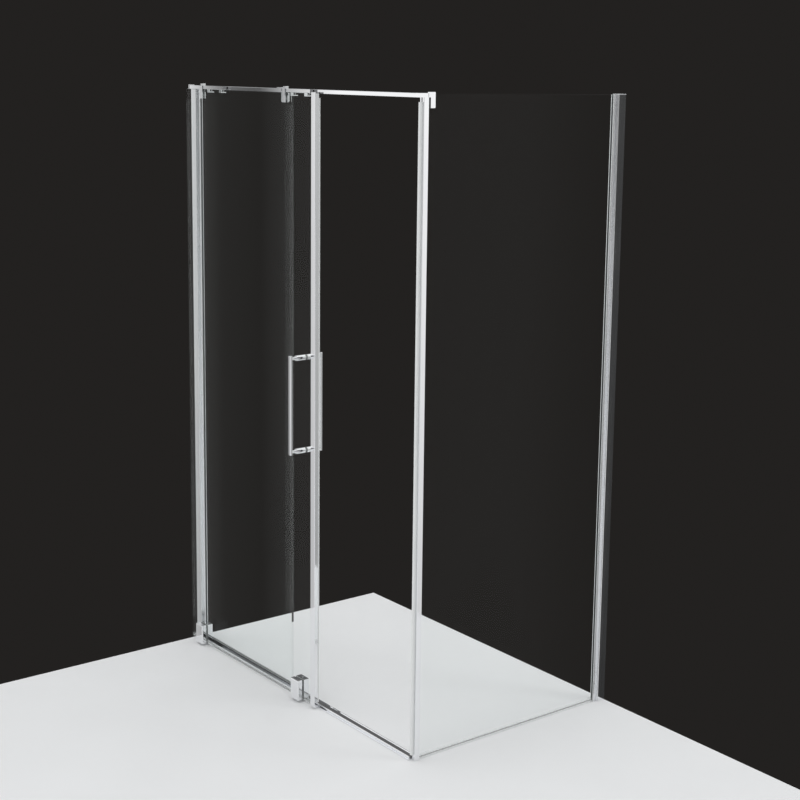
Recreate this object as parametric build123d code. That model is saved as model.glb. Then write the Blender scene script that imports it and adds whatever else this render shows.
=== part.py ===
from build123d import *
import os

# Rectangular shower enclosure with a fixed pane and a sliding door on its long front and a
# fixed pane on its short side. The functions draw with the corner post's middle at x = 0 and
# y = 0, and the last lines move every piece so that the origin is level with the underside,
# below the middle of the whole enclosure. +X runs along the front towards the corner post, +Y
# runs inwards along the short side, and +Z is up. The door is modelled fully open.

# Overall sizes
FRONT_LENGTH = 1287.0
SIDE_LENGTH = 798.0
HEIGHT = 2000.0
GLASS = 8.0
PAD = 1.0
OVERRUN = 1.0

# Corner post
POST_X = 18.0
POST_Y = 18.0
POST_POCKET_DEPTH = 8.5
POST_CHAMBER_X = 13.0
POST_CHAMBER_Y = 3.0
POST_WEB = 3.0
POST_ROUND = 1.5

# Mounting profiles at both ends and the adjusting profiles that slide in them
PROFILE_ACROSS = 28.0
PROFILE_REACH = 30.0
PROFILE_WALL = 1.6
PROFILE_SLIP = 0.3
PROFILE_ROUND = 1.0
ADJUST_BACK = 12.0
ADJUST_STEP = 33.0
ADJUST_REACH = 45.0
ADJUST_WALL = 1.6
POCKET_DEPTH = 14.0
SIDE_PROFILE_TOP = HEIGHT - 6.0
CAP_THICKNESS = 2.0
CAP_PLUG_DEPTH = 8.0

# Fixing holes and lock screws of the profiles
WALL_HOLE_R = 2.6
WALL_HOLE_COUNT = 4
WALL_HOLE_FIRST = 160.0
WALL_HOLE_SPACING = (HEIGHT - 2 * WALL_HOLE_FIRST) / (WALL_HOLE_COUNT - 1)
LOCK_COUNT = 3
LOCK_FIRST = 120.0
LOCK_SPACING = (HEIGHT - 2 * LOCK_FIRST) / (LOCK_COUNT - 1)
LOCK_PLACE = 22.0
LOCK_SHANK_R = 1.7
LOCK_SHANK = 4.5
LOCK_HEAD_R = 3.6
LOCK_HEAD = 1.8
SCREW_SLACK = 0.1

# Bottom rail with its track
BASE_THICKNESS = 3.0
BASE_FRONT = 22.0
BASE_BACK = 14.0
LIP_WIDTH = 1.5
LIP_HEIGHT = 5.0
TRACK_SETBACK = 16.0
TRACK_WIDTH = 3.0
TRACK_HEIGHT = 12.0
TRACK_CLEARANCE = 1.0

# Fixed pane, its seat on the bottom rail and the seal on its free edge
FIXED_REACH = 610.0
SEAT_WALL = 1.6
SEAT_BASE = 2.0
SEAT_TOP = 18.0
EDGE_SEAL_GRIP = 10.0
EDGE_SEAL_SKIN = 1.0
EDGE_SEAL_TOP = HEIGHT - 50.0
EDGE_SEAL_BOTTOM = 84.0
FIN_THICKNESS = 1.2
FIN_GAP = 1.0

# Top rail
RAIL_DEPTH = 18.0
RAIL_HEIGHT = 12.0
RAIL_WALL = 1.8
RAIL_ROUND = 1.0
SPIGOT_LENGTH = 20.0
SPIGOT_SLACK = 0.2
BRACKET_FOOT = 3.0
BRACKET_RIM = 2.0

# Saddle clamp that ties the top rail to the fixed pane
SADDLE_INSET = 40.0
SADDLE_WIDTH = 26.0
SADDLE_DROP = 43.0
SADDLE_TOP = 3.0
SADDLE_PLATE = 2.0
SADDLE_LIP = 1.5
SADDLE_LIP_DROP = 8.0
SADDLE_BOSS_R = 5.0
SADDLE_BOSS = 3.0
CLAMP_PLATE = 4.0
CLAMP_ROUND = 2.0
CLAMP_SCREW_R = 2.5
CLAMP_HEAD_R = 4.5
CLAMP_HEAD = 3.0
CLAMP_HOLE_DROP = 30.0
GLASS_HOLE_R = 5.5
SOCKET_R = 1.6
SOCKET_DEPTH = 1.6

# Corner bracket that ties the top rail to the side pane
CORNER_TOP = 3.0
CORNER_PLATE = 5.0
CORNER_PLATE_START = 6.0
CORNER_PLATE_WIDTH = 17.0
CORNER_DROP = 42.0
CORNER_PLATE_ROUND = 1.5
CORNER_GLASS_GAP = 0.5

# Side pane
SIDE_PANE_BOTTOM = 6.0
SIDE_SEAL_SKIN = 2.0
SIDE_SEAL_TOP = 14.0

# Sliding door
DOOR_WIDTH = 791.0
DOOR_WALL_GAP = 4.0
DOOR_PLANE = 34.0
DOOR_GLASS_BOTTOM = 12.0
DOOR_GLASS_TOP = HEIGHT - 11.0
EDGE_WIDTH = 24.0
EDGE_WALL = 2.5
EDGE_GRIP = 11.0
EDGE_BOTTOM = 6.0
EDGE_TOP = HEIGHT - 8.0
EDGE_ROUND = 1.5

# Magnetic strips on the door edge and the corner post
STRIP_SLOT_WIDTH = 6.0
STRIP_SLOT_DEPTH = 2.5
STRIP_WIDTH = 8.0
STRIP_GAP = 1.0
STRIP_BOTTOM = 20.0
STRIP_TOP = HEIGHT - 25.0
STRIP_SLACK = 0.1

# Door seals
TRAILING_GRIP = 7.0
TRAILING_REAR = 15.5
TRAILING_BOTTOM = 80.0
TRAILING_TOP = HEIGHT - 50.0
SEAL_SKIN = 1.0
WIPER_GRIP = 10.0
WIPER_DROP = 4.0
WIPER_REACH = 5.0
WIPER_FIN = 1.2
WIPER_END_GAP = 1.0

# Bar handle, the same inside and outside
HANDLE_INSET = 62.0
HANDLE_BOTTOM = 850.0
HANDLE_LENGTH = 322.0
HANDLE_POST_INSET = 10.0
HANDLE_BAR_X = 12.0
HANDLE_BAR_Y = 9.0
HANDLE_BAR_ROUND = 2.0
POST_BODY_R = 9.0
POST_BODY = 32.0
POST_NECK_R = 4.5
POST_NECK = 16.0
STUD_R = 3.0
STUD_SLACK = 0.05
STUD_BITE = 12.0
STUD_END_GAP = 1.0
WASHER_R = 9.0

# Roller blocks at the foot of the door
ROLLER_BLOCK_WIDTH = 46.0
ROLLER_BLOCK_BOTTOM = 8.0
ROLLER_BLOCK_TOP = 76.0
LEFT_BLOCK_INSET = 74.0
RIGHT_BLOCK_INSET = 97.0
COVER_DEPTH = 16.0
COVER_ROUND = 4.0
COVER_EDGE_ROUND = 2.0
CARRIER_REAR = 9.0
CARRIER_FACE = 5.0
CARRIER_SKIN = 2.0
CARRIER_REAR_SKIN = 2.5
CARRIER_CAVITY_TOP = 34.0
BLOCK_SCREW_SPREAD = 12.0
BLOCK_SCREW_HEIGHT = 56.0
BLOCK_SCREW_BITE = 10.0
ADJUSTER_R = 3.0
ADJUSTER_LENGTH = 30.0
ADJUSTER_RECESS_R = 5.0
ADJUSTER_RECESS = 5.0

# Bottom rollers
ROLLER_SPREAD = 10.4
ROLLER_RIM_R = 9.6
ROLLER_GROOVE_R = 7.5
ROLLER_WIDTH = 7.0
ROLLER_GROOVE_WIDTH = 3.6
ROLLER_GAP = 0.3
BEARING_R = 5.0
BEARING_BORE_R = 2.55
AXLE_R = 2.5
AXLE_HEAD_R = 3.6

# Top guides
LEFT_GUIDE_INSET = 100.0
RIGHT_GUIDE_INSET = 182.0
GUIDE_LENGTH = 150.0
GUIDE_HEIGHT = 10.0
GUIDE_DEPTH = 11.5
GUIDE_BAR_SETBACK = 1.5
GUIDE_CLAMP_WIDTH = 14.0
GUIDE_LUG = 7.0
GUIDE_DROP = 33.0
GUIDE_FRONT_PLATE = 4.0
GUIDE_REAR_PLATE = 3.0
GUIDE_ROUND = 1.5
GUIDE_SCREW_DROP = 20.0
ARM_WIDTH = 14.0
ARM_DROP = 12.0
ARM_THICKNESS = 3.0
ARM_END_GAP = 4.5
GUIDE_WHEEL_INSET = 36.0
GUIDE_WHEEL_SLACK = 0.3
GUIDE_WHEEL_HEIGHT = 6.0
GUIDE_WHEEL_LIFT = 1.5
GUIDE_WHEEL_BORE_R = 2.05
GUIDE_AXLE_R = 2.0
GUIDE_AXLE_HEAD_R = 3.5
GUIDE_AXLE_HEAD = 1.0
GUIDE_COLLAR_R = 3.2
GUIDE_AXLE_PLAY = 0.3

# Stops in the top rail
STOP_LENGTH = 12.0
STOP_HEIGHT = 8.0
STOP_GAP = 0.5

# Places that follow from the sizes above
LEFT_WALL = -(FRONT_LENGTH - POST_X / 2)
BACK_WALL = SIDE_LENGTH - POST_Y / 2
RAIL_BOTTOM = HEIGHT - RAIL_HEIGHT
FRONT_PROFILE_TOP = RAIL_BOTTOM - CAP_THICKNESS
POCKET_BOTTOM = ADJUST_REACH - POCKET_DEPTH
GLASS_START = POCKET_BOTTOM + PAD
TRACK_Y = -TRACK_SETBACK
RAIL_FRONT = TRACK_Y - RAIL_DEPTH / 2
RAIL_REAR = TRACK_Y + RAIL_DEPTH / 2
FIXED_EDGE = LEFT_WALL + FIXED_REACH
FIXED_BOTTOM = BASE_THICKNESS + SEAT_BASE + PAD
FIXED_TOP = FRONT_PROFILE_TOP
DOOR_LEFT = LEFT_WALL + DOOR_WALL_GAP
DOOR_RIGHT = DOOR_LEFT + DOOR_WIDTH
DOOR_FRONT = -DOOR_PLANE - GLASS / 2
DOOR_REAR = -DOOR_PLANE + GLASS / 2
DOOR_TRAVEL = POST_X / 2 - DOOR_RIGHT
EDGE_FRONT = DOOR_FRONT - EDGE_WALL
EDGE_REAR = DOOR_REAR + EDGE_WALL
HANDLE_X = DOOR_RIGHT - HANDLE_INSET
LEFT_BLOCK_X = DOOR_LEFT + LEFT_BLOCK_INSET
RIGHT_BLOCK_X = DOOR_RIGHT - RIGHT_BLOCK_INSET
LEFT_GUIDE_X = DOOR_LEFT + LEFT_GUIDE_INSET
RIGHT_GUIDE_X = DOOR_RIGHT - RIGHT_GUIDE_INSET
ROLLER_Z = TRACK_HEIGHT + ROLLER_GROOVE_R + ROLLER_GAP
GUIDE_WHEEL_R = RAIL_DEPTH / 2 - RAIL_WALL - GUIDE_WHEEL_SLACK
GUIDE_BAR_BOTTOM = DOOR_GLASS_TOP + PAD
GUIDE_BAR_TOP = GUIDE_BAR_BOTTOM + GUIDE_HEIGHT
GUIDE_WHEEL_Z = RAIL_BOTTOM + GUIDE_WHEEL_LIFT
STRIP_REACH = (-POST_Y / 2 - EDGE_REAR - STRIP_GAP) / 2
SADDLE_X = FIXED_EDGE - SADDLE_INSET
CLAMP_HOLE_Z = HEIGHT - CLAMP_HOLE_DROP

CORNER_FOOT = (Align.MIN, Align.MIN, Align.MIN)


def block(x_span, y_span, z_span):
    size = [high - low for low, high in (x_span, y_span, z_span)]
    return Pos(x_span[0], y_span[0], z_span[0]) * Box(*size, align=CORNER_FOOT)


def rod_y(x, y_span, z, radius):
    middle = (y_span[0] + y_span[1]) / 2
    return Pos(x, middle, z) * Rot(90, 0, 0) * Cylinder(radius, y_span[1] - y_span[0])


def rod_x(x_span, y, z, radius):
    middle = (x_span[0] + x_span[1]) / 2
    return Pos(middle, y, z) * Rot(0, 90, 0) * Cylinder(radius, x_span[1] - x_span[0])


def rod_z(x, y, z_span, radius):
    middle = (z_span[0] + z_span[1]) / 2
    return Pos(x, y, middle) * Cylinder(radius, z_span[1] - z_span[0])


def round_uprights(shape, radius, pick):
    edges = [edge for edge in shape.edges().filter_by(Axis.Z) if pick(edge.center())]
    return fillet(edges, radius)


def centred(width):
    return (-width / 2, width / 2)


def past(z_span):
    return (z_span[0] - OVERRUN, z_span[1] + OVERRUN)


# The profiles are drawn with their mounting face at x = 0 and the glass plane at y = 0

def wall_profile(height):
    shape = block((0, PROFILE_REACH), centred(PROFILE_ACROSS), (0, height))
    shape = round_uprights(shape, PROFILE_ROUND, lambda point: point.X > PROFILE_REACH / 2)
    inside = centred(PROFILE_ACROSS - 2 * PROFILE_WALL)
    shape -= block((PROFILE_WALL, PROFILE_REACH + OVERRUN), inside, past((0, height)))
    for number in range(WALL_HOLE_COUNT):
        z = WALL_HOLE_FIRST + number * WALL_HOLE_SPACING
        shape -= rod_x((-OVERRUN, PROFILE_WALL + OVERRUN), 0, z, WALL_HOLE_R)
    return shape


def lock_heights():
    return [LOCK_FIRST + number * LOCK_SPACING for number in range(LOCK_COUNT)]


def lock_rods(side, y_span, radius):
    span = sorted(side * y for y in y_span)
    return [rod_y(LOCK_PLACE, span, z, radius) for z in lock_heights()]


def adjusting_profile(foot, height, side):
    across = PROFILE_ACROSS - 2 * PROFILE_WALL - 2 * PROFILE_SLIP
    nose = GLASS + 2 * PAD + 2 * ADJUST_WALL
    pocket = GLASS + 2 * PAD
    tall = (foot, height)
    shape = block((ADJUST_BACK, ADJUST_STEP), centred(across), tall)
    shape += block((ADJUST_STEP - OVERRUN, ADJUST_REACH), centred(nose), tall)
    chamber = (ADJUST_BACK + ADJUST_WALL, POCKET_BOTTOM - ADJUST_WALL)
    shape -= block(chamber, centred(across - 2 * ADJUST_WALL), past(tall))
    shape -= block((POCKET_BOTTOM, ADJUST_REACH + OVERRUN), centred(pocket), past(tall))
    wall_span = (across / 2 - ADJUST_WALL - OVERRUN, across / 2 + OVERRUN)
    for hole in lock_rods(side, wall_span, LOCK_SHANK_R + SCREW_SLACK):
        shape -= hole
    return shape


def drilled_wall_profile(height, side):
    shape = wall_profile(height)
    outer = PROFILE_ACROSS / 2
    for hole in lock_rods(side, (outer - PROFILE_WALL - OVERRUN, outer + OVERRUN), LOCK_SHANK_R + SCREW_SLACK):
        shape -= hole
    return shape


def lock_screws(side):
    outer = PROFILE_ACROSS / 2
    shanks = lock_rods(side, (outer - LOCK_SHANK, outer), LOCK_SHANK_R)
    heads = lock_rods(side, (outer, outer + LOCK_HEAD), LOCK_HEAD_R)
    slots = lock_rods(side, (outer + LOCK_HEAD / 2, outer + LOCK_HEAD + OVERRUN), SOCKET_R)
    return [shank + head - slot for shank, head, slot in zip(shanks, heads, slots)]


def edge_gasket(foot, height):
    shape = block((POCKET_BOTTOM, ADJUST_REACH), centred(GLASS + 2 * PAD), (foot, height))
    slot = (POCKET_BOTTOM + PAD, ADJUST_REACH + OVERRUN)
    return shape - block(slot, centred(GLASS), past((foot, height)))


def profile_cap(height):
    lid = block((0, PROFILE_REACH), centred(PROFILE_ACROSS), (height, height + CAP_THICKNESS))
    lid = round_uprights(lid, PROFILE_ROUND, lambda point: point.X > PROFILE_REACH / 2)
    chamber = (ADJUST_BACK + ADJUST_WALL + PROFILE_SLIP, POCKET_BOTTOM - ADJUST_WALL - PROFILE_SLIP)
    across = PROFILE_ACROSS - 2 * (PROFILE_WALL + PROFILE_SLIP + ADJUST_WALL + PROFILE_SLIP)
    return lid + block(chamber, centred(across), (height - CAP_PLUG_DEPTH, height))


def screw_y(x, z, head_y, tip_y, head_side):
    head_span = sorted((head_y, head_y + head_side * CLAMP_HEAD))
    shape = rod_y(x, sorted((head_y, tip_y)), z, CLAMP_SCREW_R)
    shape += rod_y(x, head_span, z, CLAMP_HEAD_R)
    outer = head_y + head_side * CLAMP_HEAD
    socket = sorted((outer - head_side * SOCKET_DEPTH, outer + head_side * OVERRUN))
    return shape - rod_y(x, socket, z, SOCKET_R)


def pad_pair(x_span, z_span, glass_y, holes):
    pads = []
    for side in (-1, 1):
        face = glass_y + side * GLASS / 2
        pad = block(x_span, sorted((face, face + side * PAD)), z_span)
        for x, z in holes:
            collar = sorted((face + side * PAD, face - side * GLASS / 3))
            pad += rod_y(x, collar, z, GLASS_HOLE_R - SCREW_SLACK)
            through = sorted((face + side * (PAD + OVERRUN), face - side * GLASS / 2))
            pad -= rod_y(x, through, z, CLAMP_SCREW_R + SCREW_SLACK)
        pads.append(pad)
    return pads


# Frame pieces

def bottom_rail():
    length = (LEFT_WALL + PROFILE_REACH, -POST_X / 2)
    base = block(length, (-BASE_FRONT, BASE_BACK), (0, BASE_THICKNESS))
    base += block(length, (-BASE_FRONT, -BASE_FRONT + LIP_WIDTH), (0, LIP_HEIGHT))
    base += block(length, (BASE_BACK - LIP_WIDTH, BASE_BACK), (0, LIP_HEIGHT))
    shoulder = TRACK_HEIGHT - TRACK_WIDTH / 2
    track_y = (TRACK_Y - TRACK_WIDTH / 2, TRACK_Y + TRACK_WIDTH / 2)
    base += block(length, track_y, (0, shoulder))
    return base + rod_x(length, TRACK_Y, shoulder, TRACK_WIDTH / 2)


def fixed_glass():
    pane = block((LEFT_WALL + GLASS_START, FIXED_EDGE), centred(GLASS), (FIXED_BOTTOM, FIXED_TOP))
    return pane - rod_y(SADDLE_X, past(centred(GLASS)), CLAMP_HOLE_Z, GLASS_HOLE_R)


def fixed_glass_seat():
    length = (LEFT_WALL + ADJUST_REACH, FIXED_EDGE)
    outer = GLASS + 2 * PAD + 2 * SEAT_WALL
    shape = block(length, centred(outer), (BASE_THICKNESS, SEAT_TOP))
    inner = (BASE_THICKNESS + SEAT_BASE, SEAT_TOP + OVERRUN)
    return shape - block(past(length), centred(GLASS + 2 * PAD), inner)


def fixed_glass_seat_gasket():
    length = (LEFT_WALL + ADJUST_REACH, FIXED_EDGE)
    shape = block(length, centred(GLASS + 2 * PAD), (BASE_THICKNESS + SEAT_BASE, SEAT_TOP))
    return shape - block(past(length), centred(GLASS), (FIXED_BOTTOM, SEAT_TOP + OVERRUN))


def fixed_glass_edge_seal():
    tall = (EDGE_SEAL_BOTTOM, EDGE_SEAL_TOP)
    reach = (FIXED_EDGE - EDGE_SEAL_GRIP, FIXED_EDGE + EDGE_SEAL_SKIN)
    shape = block(reach, centred(GLASS + 2 * EDGE_SEAL_SKIN), tall)
    shape -= block((reach[0] - OVERRUN, FIXED_EDGE), centred(GLASS), past(tall))
    fin_x = (reach[1] - FIN_THICKNESS, reach[1])
    return shape + block(fin_x, (DOOR_REAR + FIN_GAP, -GLASS / 2 - EDGE_SEAL_SKIN), tall)


def top_rail():
    length = (LEFT_WALL + BRACKET_FOOT, -POST_X / 2)
    shape = block(length, (RAIL_FRONT, RAIL_REAR), (RAIL_BOTTOM, HEIGHT))
    tops = [edge for edge in shape.edges().filter_by(Axis.X) if edge.center().Z > HEIGHT - RAIL_WALL]
    shape = fillet(tops, RAIL_ROUND)
    channel_y = (RAIL_FRONT + RAIL_WALL, RAIL_REAR - RAIL_WALL)
    return shape - block(past(length), channel_y, (RAIL_BOTTOM - OVERRUN, HEIGHT - RAIL_WALL))


def rail_spigot(x_span):
    y_span = (RAIL_FRONT + RAIL_WALL + SPIGOT_SLACK, RAIL_REAR - RAIL_WALL - SPIGOT_SLACK)
    return block(x_span, y_span, (RAIL_BOTTOM, HEIGHT - RAIL_WALL - SPIGOT_SLACK))


def rail_wall_bracket():
    foot_y = (RAIL_FRONT - BRACKET_RIM / 2, RAIL_REAR + BRACKET_RIM)
    foot = block((LEFT_WALL, LEFT_WALL + BRACKET_FOOT), foot_y, (RAIL_BOTTOM, HEIGHT + BRACKET_RIM))
    start = LEFT_WALL + BRACKET_FOOT
    return foot + rail_spigot((start - OVERRUN, start + SPIGOT_LENGTH))


def door_stops():
    first_wheel = LEFT_GUIDE_X + GUIDE_WHEEL_INSET
    last_wheel = RIGHT_GUIDE_X + GUIDE_LENGTH - GUIDE_WHEEL_INSET + DOOR_TRAVEL
    left = first_wheel - GUIDE_WHEEL_R - STOP_GAP
    right = last_wheel + GUIDE_WHEEL_R + STOP_GAP
    y_span = (RAIL_FRONT + RAIL_WALL, RAIL_REAR - RAIL_WALL)
    z_span = (HEIGHT - RAIL_WALL - STOP_HEIGHT, HEIGHT - RAIL_WALL)
    spans = [(left - STOP_LENGTH, left), (right, right + STOP_LENGTH)]
    return [block(x_span, y_span, z_span) for x_span in spans]


def rail_saddle():
    x_span = (SADDLE_X - SADDLE_WIDTH / 2, SADDLE_X + SADDLE_WIDTH / 2)
    top = HEIGHT + SADDLE_TOP
    plate_y = (RAIL_REAR, RAIL_REAR + SADDLE_PLATE)
    shape = block(x_span, plate_y, (HEIGHT - SADDLE_DROP, top))
    shape += block(x_span, (RAIL_FRONT - SADDLE_LIP, plate_y[1]), (HEIGHT, top))
    shape += block(x_span, (RAIL_FRONT - SADDLE_LIP, RAIL_FRONT), (HEIGHT - SADDLE_LIP_DROP, top))
    shape += rod_y(SADDLE_X, (RAIL_REAR - SADDLE_BOSS, RAIL_REAR + OVERRUN), CLAMP_HOLE_Z, SADDLE_BOSS_R)
    bore = (RAIL_REAR - SADDLE_BOSS - OVERRUN, plate_y[1] + OVERRUN)
    return shape - rod_y(SADDLE_X, bore, CLAMP_HOLE_Z, CLAMP_SCREW_R + SCREW_SLACK)


def clamp_plate(x, y_span, z_span, hole_z, width):
    shape = block((x - width / 2, x + width / 2), y_span, z_span)
    corners = [edge for edge in shape.edges().filter_by(Axis.Y)]
    shape = fillet(corners, CLAMP_ROUND)
    return shape - rod_y(x, past(y_span), hole_z, CLAMP_SCREW_R + SCREW_SLACK)


def rail_clamp_plate():
    face = GLASS / 2 + PAD
    z_span = (HEIGHT - SADDLE_DROP, FIXED_TOP - PAD)
    return clamp_plate(SADDLE_X, (face, face + CLAMP_PLATE), z_span, CLAMP_HOLE_Z, SADDLE_WIDTH)


def rail_clamp_pads():
    x_span = (SADDLE_X - SADDLE_WIDTH / 2, SADDLE_X + SADDLE_WIDTH / 2)
    z_span = (HEIGHT - SADDLE_DROP, FIXED_TOP - PAD)
    return pad_pair(x_span, z_span, 0, [(SADDLE_X, CLAMP_HOLE_Z)])


def rail_clamp_screw():
    head = GLASS / 2 + PAD + CLAMP_PLATE
    return screw_y(SADDLE_X, CLAMP_HOLE_Z, head, RAIL_REAR - SADDLE_BOSS, 1)


def corner_post():
    shape = block(centred(POST_X), centred(POST_Y), (0, RAIL_BOTTOM))
    shape = round_uprights(shape, POST_ROUND, lambda point: point.Y < 0)
    tall = past((0, RAIL_BOTTOM))
    pocket = centred(GLASS + 2 * PAD)
    shape -= block(pocket, (POST_Y / 2 - POST_POCKET_DEPTH, POST_Y / 2 + OVERRUN), tall)
    chamber_rear = -POST_WEB / 2
    shape -= block(centred(POST_CHAMBER_X), (chamber_rear - POST_CHAMBER_Y, chamber_rear), tall)
    slot = (-POST_Y / 2 - OVERRUN, -POST_Y / 2 + STRIP_SLOT_DEPTH)
    return shape - block(centred(STRIP_SLOT_WIDTH), slot, tall)


def corner_post_gasket():
    start = POST_Y / 2 - POST_POCKET_DEPTH
    tall = (0, RAIL_BOTTOM)
    shape = block(centred(GLASS + 2 * PAD), (start, POST_Y / 2), tall)
    slot = (start + PAD, POST_Y / 2 + OVERRUN)
    return shape - block(centred(GLASS), slot, (SIDE_PANE_BOTTOM, RAIL_BOTTOM + OVERRUN))


def magnetic_strip(x, face_y, direction):
    tall = (STRIP_BOTTOM, STRIP_TOP)
    foot_x = (x - STRIP_SLOT_WIDTH / 2 + STRIP_SLACK, x + STRIP_SLOT_WIDTH / 2 - STRIP_SLACK)
    foot_y = sorted((face_y - direction * STRIP_SLOT_DEPTH, face_y))
    body_y = sorted((face_y, face_y + direction * STRIP_REACH))
    return block(foot_x, foot_y, tall) + block((x - STRIP_WIDTH / 2, x + STRIP_WIDTH / 2), body_y, tall)


def post_magnetic_strip():
    return magnetic_strip(0, -POST_Y / 2, -1)


def side_glass():
    start = POST_Y / 2 - POST_POCKET_DEPTH + PAD
    pane = block(centred(GLASS), (start, BACK_WALL - GLASS_START), (SIDE_PANE_BOTTOM, SIDE_PROFILE_TOP))
    hole = rod_x(past(centred(GLASS)), corner_plate_y(), CLAMP_HOLE_Z, GLASS_HOLE_R)
    return pane - hole


def side_glass_base_seal():
    length = (POST_Y / 2, BACK_WALL - ADJUST_REACH)
    shape = block(centred(GLASS + 2 * SIDE_SEAL_SKIN), length, (0, SIDE_SEAL_TOP))
    return shape - block(centred(GLASS), past(length), (SIDE_PANE_BOTTOM, SIDE_SEAL_TOP + OVERRUN))


def corner_plate_y():
    return POST_Y / 2 + CORNER_PLATE_START + CORNER_PLATE_WIDTH / 2


def corner_bracket():
    top = HEIGHT + CORNER_TOP
    head = block(centred(POST_X), (RAIL_FRONT, POST_Y / 2), (RAIL_BOTTOM, HEIGHT))
    outer = (GLASS / 2 + PAD, GLASS / 2 + PAD + CORNER_PLATE)
    plate_y = (POST_Y / 2 + CORNER_PLATE_START, corner_plate_y() + CORNER_PLATE_WIDTH / 2)
    head += block(outer, (POST_Y / 2 - OVERRUN, plate_y[1]), (RAIL_BOTTOM, top))
    head += block(outer, plate_y, (HEIGHT - CORNER_DROP, top))
    uprights = [edge for edge in head.edges().filter_by(Axis.X) if edge.center().Y > POST_Y / 2]
    head = fillet([edge for edge in uprights if edge.center().Z < RAIL_BOTTOM - OVERRUN], CORNER_PLATE_ROUND)
    glass_slot = centred(GLASS + 2 * CORNER_GLASS_GAP)
    start = POST_Y / 2 - POST_POCKET_DEPTH
    slot_z = (RAIL_BOTTOM - OVERRUN, SIDE_PROFILE_TOP + CORNER_GLASS_GAP)
    head -= block(glass_slot, (start, POST_Y / 2 + OVERRUN), slot_z)
    bore = (outer[0] - OVERRUN, outer[1] - PAD)
    head -= rod_x(bore, corner_plate_y(), CLAMP_HOLE_Z, CLAMP_SCREW_R + SCREW_SLACK)
    return head + rail_spigot((-POST_X / 2 - SPIGOT_LENGTH, -POST_X / 2 + OVERRUN))


# The side pane's clamp is drawn like one on the front, then turned to face out of the side

SIDE_TURN = Rot(0, 0, 90)


def corner_clamp_plate():
    face = GLASS / 2 + PAD
    z_span = (HEIGHT - CORNER_DROP, SIDE_PROFILE_TOP - PAD)
    plate = clamp_plate(corner_plate_y(), (face, face + CLAMP_PLATE), z_span, CLAMP_HOLE_Z, CORNER_PLATE_WIDTH)
    return SIDE_TURN * plate


def corner_clamp_pads():
    x_span = (corner_plate_y() - CORNER_PLATE_WIDTH / 2, corner_plate_y() + CORNER_PLATE_WIDTH / 2)
    z_span = (HEIGHT - CORNER_DROP, SIDE_PROFILE_TOP - PAD)
    pads = pad_pair(x_span, z_span, 0, [(corner_plate_y(), CLAMP_HOLE_Z)])
    return [SIDE_TURN * pad for pad in pads]


def corner_clamp_screw():
    head = GLASS / 2 + PAD + CLAMP_PLATE
    tip = -(GLASS / 2 + PAD + CORNER_PLATE - PAD)
    return SIDE_TURN * screw_y(corner_plate_y(), CLAMP_HOLE_Z, head, tip, 1)


# Door pieces

def block_screw_places(x):
    return [(x - BLOCK_SCREW_SPREAD, BLOCK_SCREW_HEIGHT), (x + BLOCK_SCREW_SPREAD, BLOCK_SCREW_HEIGHT)]


def guide_screw_place(x):
    return (x + GUIDE_CLAMP_WIDTH / 2, DOOR_GLASS_TOP - GUIDE_SCREW_DROP)


def handle_heights():
    return [HANDLE_BOTTOM + HANDLE_POST_INSET, HANDLE_BOTTOM + HANDLE_LENGTH - HANDLE_POST_INSET]


def door_glass():
    right = DOOR_RIGHT - EDGE_WIDTH + EDGE_GRIP
    pane = block((DOOR_LEFT + SEAL_SKIN, right), (DOOR_FRONT, DOOR_REAR), (DOOR_GLASS_BOTTOM, DOOR_GLASS_TOP))
    places = block_screw_places(LEFT_BLOCK_X) + block_screw_places(RIGHT_BLOCK_X)
    places += [guide_screw_place(LEFT_GUIDE_X), guide_screw_place(RIGHT_GUIDE_X)]
    places += [(HANDLE_X, z) for z in handle_heights()]
    for x, z in places:
        pane -= rod_y(x, past((DOOR_FRONT, DOOR_REAR)), z, GLASS_HOLE_R)
    return pane


def strip_slot_x():
    return DOOR_RIGHT - POST_X / 2


def door_edge_profile():
    tall = (EDGE_BOTTOM, EDGE_TOP)
    shape = block((DOOR_RIGHT - EDGE_WIDTH, DOOR_RIGHT), (EDGE_FRONT, EDGE_REAR), tall)
    shape = round_uprights(shape, EDGE_ROUND, lambda point: point.Y < -DOOR_PLANE)
    grip = (DOOR_RIGHT - EDGE_WIDTH - OVERRUN, DOOR_RIGHT - EDGE_WIDTH + EDGE_GRIP)
    shape -= block(grip, (DOOR_FRONT, DOOR_REAR), past(tall))
    slot_x = (strip_slot_x() - STRIP_SLOT_WIDTH / 2, strip_slot_x() + STRIP_SLOT_WIDTH / 2)
    return shape - block(slot_x, (EDGE_REAR - STRIP_SLOT_DEPTH, EDGE_REAR + OVERRUN), past(tall))


def door_magnetic_strip():
    return magnetic_strip(strip_slot_x(), EDGE_REAR, 1)


def door_trailing_seal():
    tall = (TRAILING_BOTTOM, TRAILING_TOP)
    reach = (DOOR_LEFT, DOOR_LEFT + TRAILING_GRIP)
    shape = block(reach, (DOOR_FRONT - SEAL_SKIN, DOOR_REAR + SEAL_SKIN), tall)
    shape -= block((DOOR_LEFT + SEAL_SKIN, reach[1] + OVERRUN), (DOOR_FRONT, DOOR_REAR), past(tall))
    return shape + block((DOOR_LEFT, DOOR_LEFT + FIN_THICKNESS), (DOOR_REAR, -TRAILING_REAR), tall)


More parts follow.
